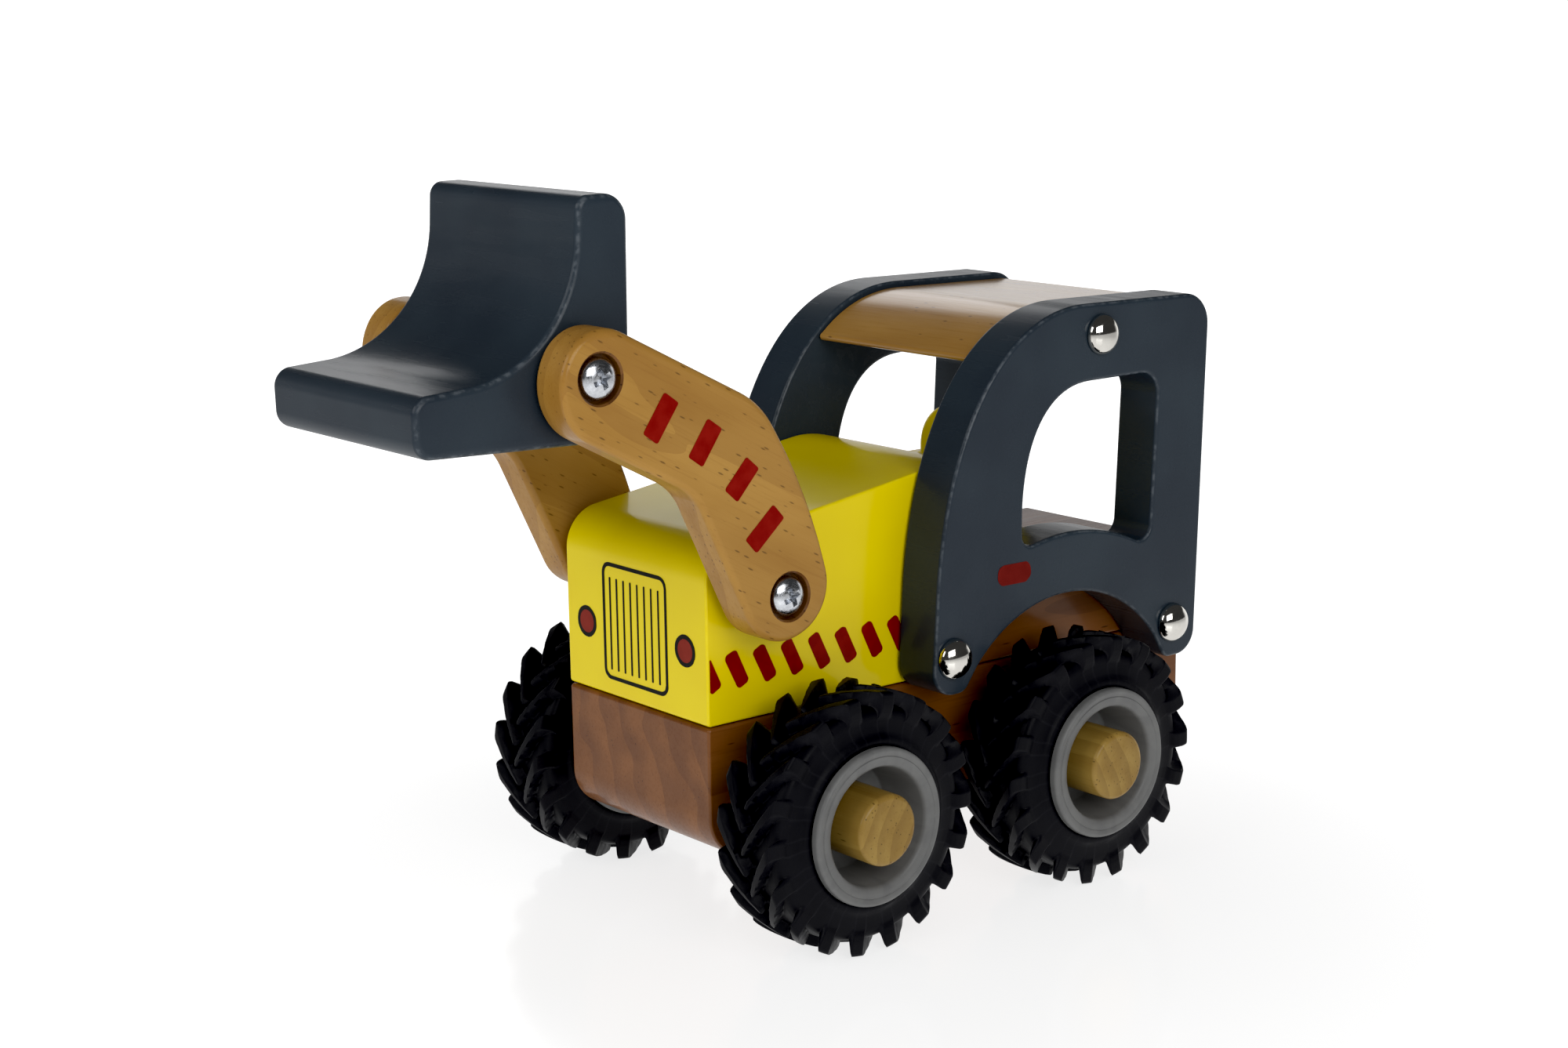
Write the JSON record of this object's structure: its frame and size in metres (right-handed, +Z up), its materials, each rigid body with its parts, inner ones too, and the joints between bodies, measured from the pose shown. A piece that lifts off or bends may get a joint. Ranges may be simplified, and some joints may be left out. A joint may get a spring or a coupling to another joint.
{
  "type": "toy front loader",
  "caption": "Wooden toy front loader: chassis, hood and open cab on free-spinning rubber tyres, with a pivoting bucket carried by a pair of coupled lift arms.",
  "frame": {"origin": "middle of the bounding box's underside, on the ground under the toy", "axes": "-Y is the way the toy faces, where the bucket is, +X is the toy's own left side and +Z is up"},
  "size_m": [0.0976, 0.1865, 0.142],
  "materials": {
    "stained_wood": "brown stain under satin lacquer",
    "yellow_paint": "wood under glossy yellow paint",
    "grey_paint": "wood under semi-gloss slate grey paint",
    "beech": "clear lacquered beech",
    "grey_plastic": "moulded mid-grey plastic",
    "rubber": "soft black rubber",
    "polished_steel": "polished nickel plate",
    "zinc_plate": "bright zinc plate"
  },
  "bodies": {
    "vehicle": {"chassis": "stained_wood", "hood": "yellow_paint", "cab_floor": "stained_wood", "seat": "yellow_paint", "cab_roof": "beech", "cab_panel_left": "grey_paint", "cab_panel_right": "grey_paint", "nail_left_top": "polished_steel", "nail_left_front": "polished_steel", "nail_left_rear": "polished_steel", "nail_right_top": "polished_steel", "nail_right_front": "polished_steel", "nail_right_rear": "polished_steel", "arm_screw_left": "zinc_plate", "arm_screw_right": "zinc_plate", "arm_washer_left": "zinc_plate", "arm_washer_right": "zinc_plate"},
    "front_axle_set": {"front_axle": "beech", "hub_cap_front_left": "beech", "hub_cap_front_right": "beech"},
    "rear_axle_set": {"rear_axle": "beech", "hub_cap_rear_left": "beech", "hub_cap_rear_right": "beech"},
    "wheel_front_left": {"rim_front_left": "grey_plastic", "tyre_front_left": "rubber"},
    "wheel_front_right": {"rim_front_right": "grey_plastic", "tyre_front_right": "rubber"},
    "wheel_rear_left": {"rim_rear_left": "grey_plastic", "tyre_rear_left": "rubber"},
    "wheel_rear_right": {"rim_rear_right": "grey_plastic", "tyre_rear_right": "rubber"},
    "arm_left": {"lift_arm_left": "beech"},
    "arm_right": {"lift_arm_right": "beech"},
    "bucket": {"bucket": "grey_paint", "bucket_screw_left": "zinc_plate", "bucket_screw_right": "zinc_plate"}
  },
  "joints": [
    {"name": "front_axle_spin", "type": "hinge", "parent": "vehicle", "child": "front_axle_set", "pos_m": [0, -0.0122, 0.025], "axis": [1, 0, 0], "continuous": true},
    {"name": "rear_axle_spin", "type": "hinge", "parent": "vehicle", "child": "rear_axle_set", "pos_m": [0, 0.0478, 0.025], "axis": [1, 0, 0], "continuous": true},
    {"name": "wheel_front_left_spin", "type": "hinge", "parent": "front_axle_set", "child": "wheel_front_left", "pos_m": [0.03685, -0.0122, 0.025], "axis": [1, 0, 0], "continuous": true},
    {"name": "wheel_front_right_spin", "type": "hinge", "parent": "front_axle_set", "child": "wheel_front_right", "pos_m": [-0.03685, -0.0122, 0.025], "axis": [1, 0, 0], "continuous": true},
    {"name": "wheel_rear_left_spin", "type": "hinge", "parent": "rear_axle_set", "child": "wheel_rear_left", "pos_m": [0.03685, 0.0478, 0.025], "axis": [1, 0, 0], "continuous": true},
    {"name": "wheel_rear_right_spin", "type": "hinge", "parent": "rear_axle_set", "child": "wheel_rear_right", "pos_m": [-0.03685, 0.0478, 0.025], "axis": [1, 0, 0], "continuous": true},
    {"name": "arm_left_lift", "type": "hinge", "parent": "vehicle", "child": "arm_left", "pos_m": [0.02895, -0.0218, 0.0677], "axis": [1, 0, 0], "range_deg": [-60, 80]},
    {"name": "arm_right_lift", "type": "hinge", "parent": "vehicle", "child": "arm_right", "pos_m": [-0.02895, -0.0218, 0.0677], "axis": [1, 0, 0], "range_deg": [-60, 80]},
    {"name": "bucket_tilt", "type": "hinge", "parent": "arm_left", "child": "bucket", "pos_m": [0, -0.0622, 0.1119], "axis": [1, 0, 0], "range_deg": [-90, 60]}
  ],
  "couplings": [
    {"joint": "arm_right_lift", "follows": "arm_left_lift", "ratio": 1}
  ]
}
